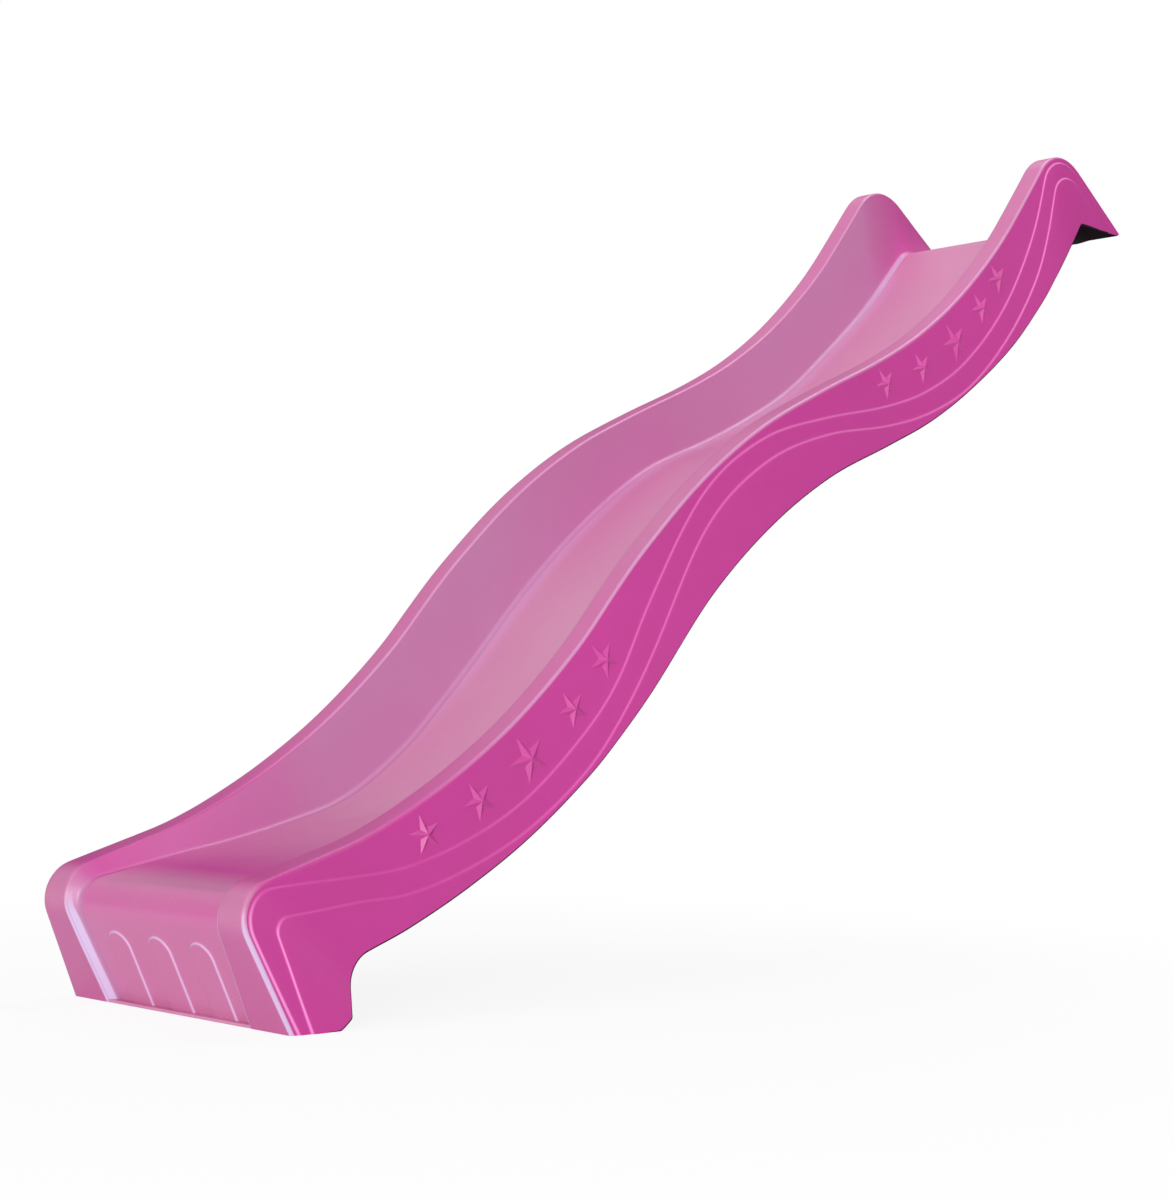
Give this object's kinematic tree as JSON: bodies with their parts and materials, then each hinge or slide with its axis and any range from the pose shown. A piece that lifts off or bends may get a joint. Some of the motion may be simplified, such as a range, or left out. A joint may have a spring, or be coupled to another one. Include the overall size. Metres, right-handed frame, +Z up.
{
  "type": "playground slide",
  "caption": "Moulded playground slide: wavy bed between raised rims, rounded foot, ribbed apron, star relief and a head lip that rests on a platform.",
  "frame": {"origin": "middle of the ground flange's underside, on the ground at the foot", "axes": "+X from the foot towards the head, +Y across the slide (a sliding child's right), +Z up"},
  "size_m": [2.204, 0.568, 1.5845],
  "materials": {
    "moulded_plastic": "satin gloss magenta polyethylene, coloured right through"
  },
  "bodies": {
    "root": {"head_lip": "moulded_plastic", "head_bed": "moulded_plastic", "upper_bed": "moulded_plastic", "middle_bed": "moulded_plastic", "lower_bed": "moulded_plastic", "foot_nose": "moulded_plastic", "foot_apron": "moulded_plastic", "ground_flange": "moulded_plastic", "head_left_wall": "moulded_plastic", "head_left_rim": "moulded_plastic", "head_left_panel": "moulded_plastic", "head_right_wall": "moulded_plastic", "head_right_rim": "moulded_plastic", "head_right_panel": "moulded_plastic", "upper_left_wall": "moulded_plastic", "upper_left_rim": "moulded_plastic", "upper_left_panel": "moulded_plastic", "upper_right_wall": "moulded_plastic", "upper_right_rim": "moulded_plastic", "upper_right_panel": "moulded_plastic", "middle_left_wall": "moulded_plastic", "middle_left_rim": "moulded_plastic", "middle_left_panel": "moulded_plastic", "middle_right_wall": "moulded_plastic", "middle_right_rim": "moulded_plastic", "middle_right_panel": "moulded_plastic", "lower_left_wall": "moulded_plastic", "lower_left_rim": "moulded_plastic", "lower_left_panel": "moulded_plastic", "lower_right_wall": "moulded_plastic", "lower_right_rim": "moulded_plastic", "lower_right_panel": "moulded_plastic", "foot_left_wall": "moulded_plastic", "foot_left_rim": "moulded_plastic", "foot_left_panel": "moulded_plastic", "foot_right_wall": "moulded_plastic", "foot_right_rim": "moulded_plastic", "foot_right_panel": "moulded_plastic"}
  },
  "joints": []
}
